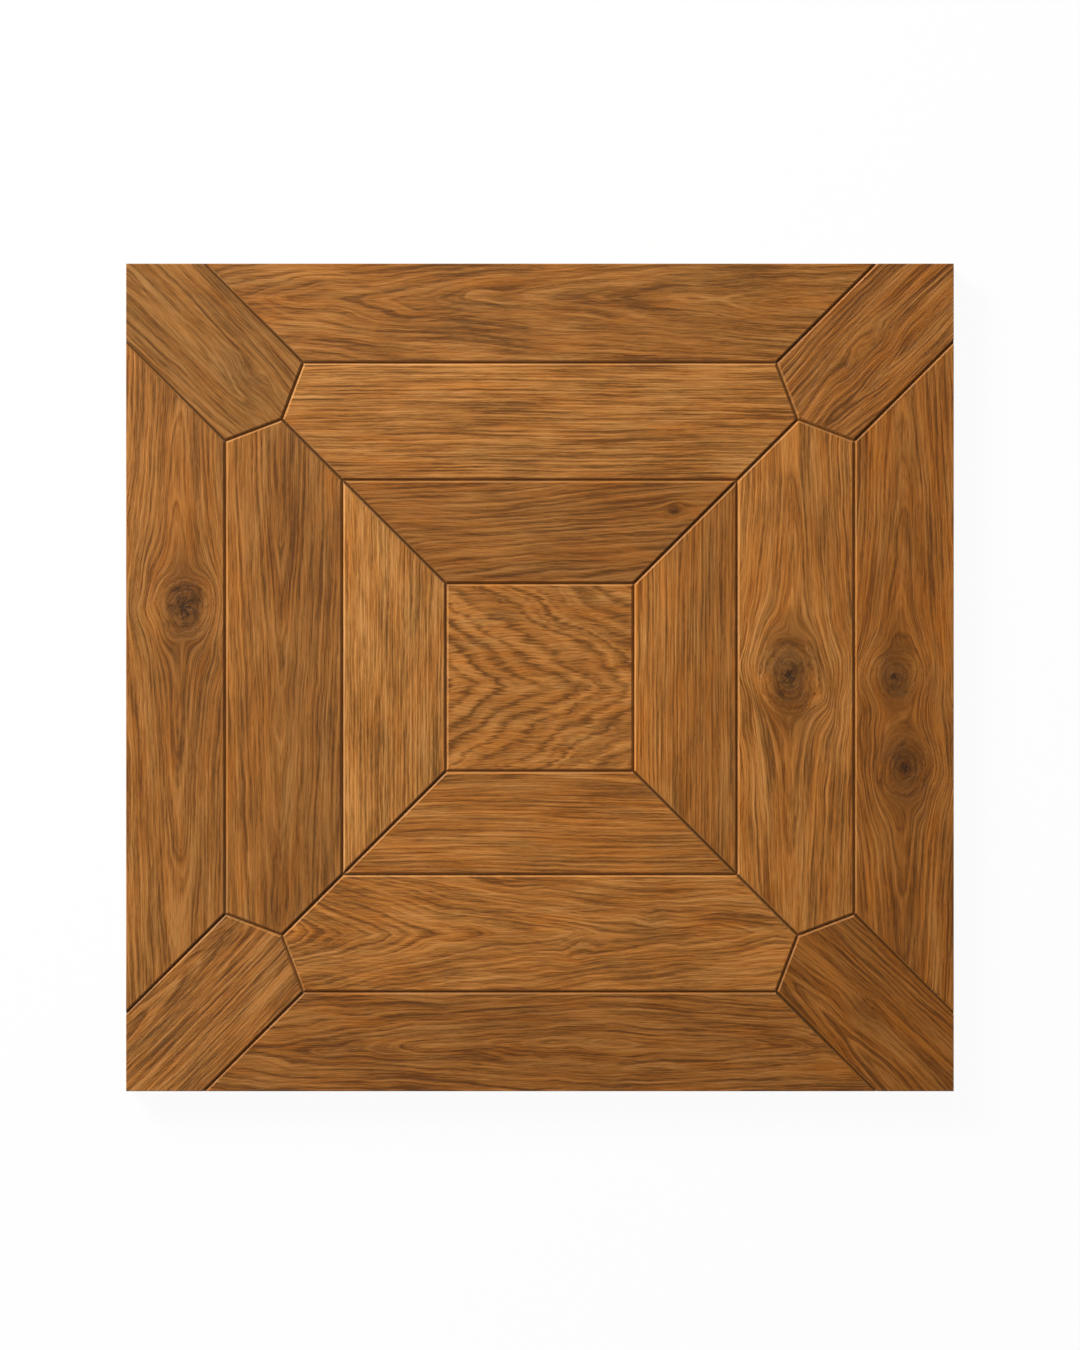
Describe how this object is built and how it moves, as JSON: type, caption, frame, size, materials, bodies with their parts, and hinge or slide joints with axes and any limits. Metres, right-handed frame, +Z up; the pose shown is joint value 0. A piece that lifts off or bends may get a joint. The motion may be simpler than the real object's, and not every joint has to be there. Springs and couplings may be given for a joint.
{
  "type": "parquet panel",
  "caption": "Square solid oak parquet panel: mitred staves in rings round a centre square, with pointed braces across the corners and grooved outer edges.",
  "frame": {"origin": "middle of the underside", "axes": "+Z up through the wearing face, +X to the right and +Y to the top of the picture"},
  "size_m": [0.6, 0.6, 0.02],
  "materials": {
    "oak_light": "satin",
    "oak_medium": "satin",
    "oak_dark": "satin"
  },
  "bodies": {
    "root": {"centre_square": "oak_medium", "inner_stave_north": "oak_medium", "inner_stave_east": "oak_medium", "inner_stave_south": "oak_medium", "inner_stave_west": "oak_light", "middle_stave_north": "oak_light", "middle_stave_east": "oak_medium", "middle_stave_south": "oak_medium", "middle_stave_west": "oak_medium", "outer_stave_north": "oak_medium", "outer_stave_east": "oak_dark", "outer_stave_south": "oak_dark", "outer_stave_west": "oak_medium", "corner_brace_north_east": "oak_medium", "corner_brace_south_east": "oak_dark", "corner_brace_south_west": "oak_medium", "corner_brace_north_west": "oak_medium"}
  },
  "joints": []
}
